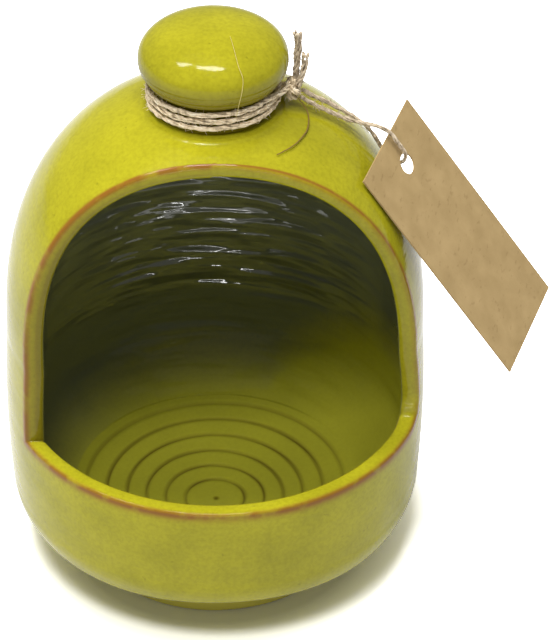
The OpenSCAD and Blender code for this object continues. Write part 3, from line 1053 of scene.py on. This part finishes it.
def knot_path():
    """Overhand turns of the knot: a closed three-lobed curve over the knot's ball."""
    tip = Matrix.Rotation(math.radians(KNOT_TIP), 3, "Y")
    out = []
    for i in range(KNOT_STEPS + 1):
        t = 2 * math.pi * i / KNOT_STEPS
        r = KNOT_TURN_R + KNOT_TURN_IN * math.cos(3 * t)
        turn = Vector((r * math.cos(2 * t), r * math.sin(2 * t), KNOT_TURN_H * math.sin(3 * t)))
        out.append(knot + turn_twine @ (tip @ turn))
    return out


tied = plied("tied_knot", resample(knot_path(), step=0.4))
dress(tied, jute_painted_light, "collar", "twine", "tie_knot")


# No loose fibres this near the card's hole, where the card swings past
HOLE_FREE = 13.5
# Radii along a loose fibre, and how far it starts from the twine's centre
HAIR_R = [0.075, 0.07, 0.06, 0.048, 0.03]
HAIR_START = 0.7


def fuzz(name, path, body_name, mat, count, reach):
    """Loose fibres standing off a length of twine."""
    points, faces = [], []
    lay = frames(path)
    free = [i for i in range(2, len(path) - 2) if (path[i] - hole).length > HOLE_FREE]
    for _ in range(count):
        i = rng.choice(free)
        t, u, v = lay[i]
        a = rng.uniform(0, 2 * math.pi)
        out = math.cos(a) * u + math.sin(a) * v
        length = rng.uniform(0.35, 1.0) * reach
        along = t * rng.uniform(-1, 1)
        bend = Vector((rng.uniform(-1, 1), rng.uniform(-1, 1), rng.uniform(-0.6, 0.6))) * 0.5
        hair = []
        for k in range(len(HAIR_R)):
            f = k / (len(HAIR_R) - 1)
            stands = out * (HAIR_START + 0.5 * length * f)
            hair.append(path[i] + stands + along * length * 0.8 * f + bend * length * f * f * 0.6)
        sweep(points, faces, hair, HAIR_R, 3)
    obj = make_object(name, points, faces)
    dress(obj, mat, body_name, "twine")


fuzz("wrap_fibres", wrap_path, "collar", jute_painted_light, count=460, reach=2.3)
fuzz("lead_fibres", lead_path, "lead", jute_painted_shade, count=150, reach=1.8)
fuzz("end_fibres", long_path, "collar", jute_painted_shade, count=110, reach=2.4)
fuzz("short_end_fibres", short_path, "collar", jute_painted_shade, count=70, reach=2.0)
fuzz("knot_fibres", knot_path(), "collar", jute_painted_light, count=160, reach=2.6)


# Two long loose fibres, on the dome and over the knob
BROWN_STRAY = [
    (22.5, -1.2, 153.5), (24.8, -1.4, 150.4), (26.0, -3.4, 148.6), (25.7, -9.1, 148.0),
    (24.0, -13.5, 147.8), (21.3, -17.8, 147.7), (17.0, -21.8, 147.6)]
PALE_STRAY = [
    (4.6, -5.9, 175.4), (5.6, -11.0, 174.3), (6.7, -15.8, 172.1), (7.9, -18.3, 169.5),
    (7.6, -20.0, 166.3), (6.7, -20.2, 162.0), (6.0, -19.3, 157.6)]


def stray(name, route, mat, size):
    """One long loose fibre that lies over the glaze, thinner at its ends."""
    points, faces = [], []
    line = resample([turn_twine @ p for p in smooth_route(route)], step=0.4)
    places = [(i + 1) / (len(line) + 1) for i in range(len(line))]
    sizes = [size * (0.5 + 0.5 * math.sin(math.pi * f) ** 0.5) for f in places]
    sweep(points, faces, line, sizes, 5)
    obj = make_object(name, points, faces)
    dress(obj, mat, "collar", "twine")


husk = new_material("brown_fibre", HUSK, 0.7)[0]
straw = new_material("straw_fibre", STRAW, 0.6)[0]
stray("brown_stray", BROWN_STRAY, husk, size=0.21)
stray("pale_stray", PALE_STRAY, straw, size=0.085)

# Camera fitted to the photograph: place and aim in millimetres, then pixels, and its roll in degrees
CAMERA_OUT = 766.9
CAMERA_UP = 636.1
AIM_Z = 71.43
FOCAL_PX = 3296.5
IMAGE_W, IMAGE_H = 554, 640
AIM_PX = (215.07, 334.56)
CAMERA_ROLL = -0.40

camera_data = bpy.data.cameras.new("camera")
camera_data.sensor_width = 36
camera_data.lens = FOCAL_PX / IMAGE_H * camera_data.sensor_width
camera_data.clip_end = 20
camera = bpy.data.objects.new("camera", camera_data)
bpy.context.scene.collection.objects.link(camera)
place = Vector((0, -CAMERA_OUT, CAMERA_UP)) * MM
to_aim = (Vector((0, 0, AIM_Z * MM)) - place).normalized()
look = to_aim.to_track_quat("-Z", "Y").to_matrix()
look = look @ Matrix.Rotation(math.radians(CAMERA_ROLL), 3, "Z")
# Shifts the aim from the middle of the picture to where the pot's axis stands in it
across, up = (AIM_PX[0] - IMAGE_W / 2) / FOCAL_PX, (IMAGE_H / 2 - AIM_PX[1]) / FOCAL_PX
ray = Vector((across, up, -1)).normalized()
look = look @ ray.rotation_difference(Vector((0, 0, -1))).to_matrix()
camera.matrix_world = Matrix.Translation(place) @ look.to_4x4()
bpy.context.scene.camera = camera

# Floor and light
SKY_LEVEL = 0.30
# Glow of the floor as the glaze mirrors it, and its white as it lights the pot
MIRROR_GLOW = 0.06
FLOOR_WHITE = 0.87
# Seen directly, the white floor is painted darker beside the foot, a painted shadow, and lighter further out
# until it burns out
FLOOR_PAINT_FROM, FLOOR_PAINT_TO = 0.044, 0.066
FLOOR_SHADOW_LEVEL, FLOOR_BURNT_LEVEL = 0.84, 2.9
floor = make_object("floor", [(-3, -3, 0), (3, -3, 0), (3, 3, 0), (-3, 3, 0)], [(0, 1, 2, 3)], False)
floor_mat = bpy.data.materials.new("white_floor")
floor_mat.use_nodes = True
tree = floor_mat.node_tree
tree.nodes.clear()
paths = node(tree, "ShaderNodeLightPath")
mirrored = node(tree, "ShaderNodeMath", operation="MULTIPLY")
mirrored.inputs[1].default_value = MIRROR_GLOW
tree.links.new(paths.outputs["Is Glossy Ray"], mirrored.inputs[0])
glow = node(tree, "ShaderNodeEmission")
tree.links.new(mirrored.outputs[0], glow.inputs["Strength"])
matte = node(tree, "ShaderNodeBsdfDiffuse")
where = node(tree, "ShaderNodeTexCoord")
away = node(tree, "ShaderNodeVectorMath", operation="LENGTH")
tree.links.new(where.outputs["Object"], away.inputs[0])
floor_paint = node(tree, "ShaderNodeMapRange")
floor_paint.inputs["From Min"].default_value = FLOOR_PAINT_FROM
floor_paint.inputs["From Max"].default_value = FLOOR_PAINT_TO
floor_paint.inputs["To Min"].default_value = FLOOR_SHADOW_LEVEL
floor_paint.inputs["To Max"].default_value = FLOOR_BURNT_LEVEL
tree.links.new(away.outputs["Value"], floor_paint.inputs["Value"])
white = node(tree, "ShaderNodeMapRange")
white.inputs["To Min"].default_value = FLOOR_WHITE
tree.links.new(floor_paint.outputs["Result"], white.inputs["To Max"])
tree.links.new(paths.outputs["Is Camera Ray"], white.inputs["Value"])
tree.links.new(white.outputs["Result"], matte.inputs["Color"])
both = node(tree, "ShaderNodeAddShader")
tree.links.new(glow.outputs[0], both.inputs[0])
tree.links.new(matte.outputs[0], both.inputs[1])
final = node(tree, "ShaderNodeOutputMaterial")
tree.links.new(both.outputs[0], final.inputs["Surface"])
floor.data.materials.append(floor_mat)

world = bpy.data.worlds.new("studio")
bpy.context.scene.world = world
world.use_nodes = True
tree = world.node_tree
background = tree.nodes["Background"]
background.inputs["Color"].default_value = (1, 1, 1, 1)
paths = node(tree, "ShaderNodeLightPath")
sky = node(tree, "ShaderNodeMapRange")
sky.inputs["To Min"].default_value = SKY_LEVEL
sky.inputs["To Max"].default_value = 1.0
tree.links.new(paths.outputs["Is Camera Ray"], sky.inputs["Value"])
tree.links.new(sky.outputs["Result"], background.inputs["Strength"])


# Lamps: name, place, aim and size in metres, watts, and whether each lights and is mirrored
LAMPS = (
    ("key", (-0.15, -0.79, 1.55), (0, 0, 0.06), (0.45, 0.28), 13.5, True, False),
    ("top", (-0.26, 0.20, 1.5), (0, 0, 0.08), (0.7, 0.7), 8.5, True, False),
    ("bar", (-0.05, -0.20, 1.57), (0, 0, 0.16), (0.62, 0.22), 12.0, True, True),
    ("patch", (-0.65, 0.05, 1.50), (0, 0, 0.16), (0.15, 0.36), 4.5, True, True),
    ("side", (-1.45, -0.25, 0.75), (0, 0, 0.08), (0.5, 0.5), 6.4, True, False),
    ("front", (0.0, -1.60, 0.13), (0, 0, 0.07), (1.0, 0.07), 3.2, False, True))


def area_light(name, place, aim, size, power, shines, mirrors):
    """Rectangular lamp. It may light without being mirrored, or be mirrored without lighting."""
    data = bpy.data.lights.new(name, "AREA")
    data.shape = "RECTANGLE"
    data.size, data.size_y = size
    data.energy = power
    obj = bpy.data.objects.new(name, data)
    bpy.context.scene.collection.objects.link(obj)
    obj.visible_diffuse = shines
    obj.visible_glossy = mirrors
    where = Vector(place)
    turn = (Vector(aim) - where).to_track_quat("-Z", "Y").to_matrix().to_4x4()
    obj.matrix_world = Matrix.Translation(where) @ turn
    return obj


lamps = {lamp[0]: area_light(*lamp) for lamp in LAMPS}
# Two lamps reach only the pot's body, and one reaches everything but the floor
pot_only = bpy.data.collections.new("pot_only")
pot_only.objects.link(body)
lamps["side"].light_linking.receiver_collection = pot_only
lamps["front"].light_linking.receiver_collection = pot_only
floor_out = bpy.data.collections.new("floor_out")
floor_out.objects.link(floor)
floor_out.collection_objects[0].light_linking.link_state = "EXCLUDE"
lamps["patch"].light_linking.receiver_collection = floor_out

bpy.context.scene.view_settings.view_transform = "Standard"
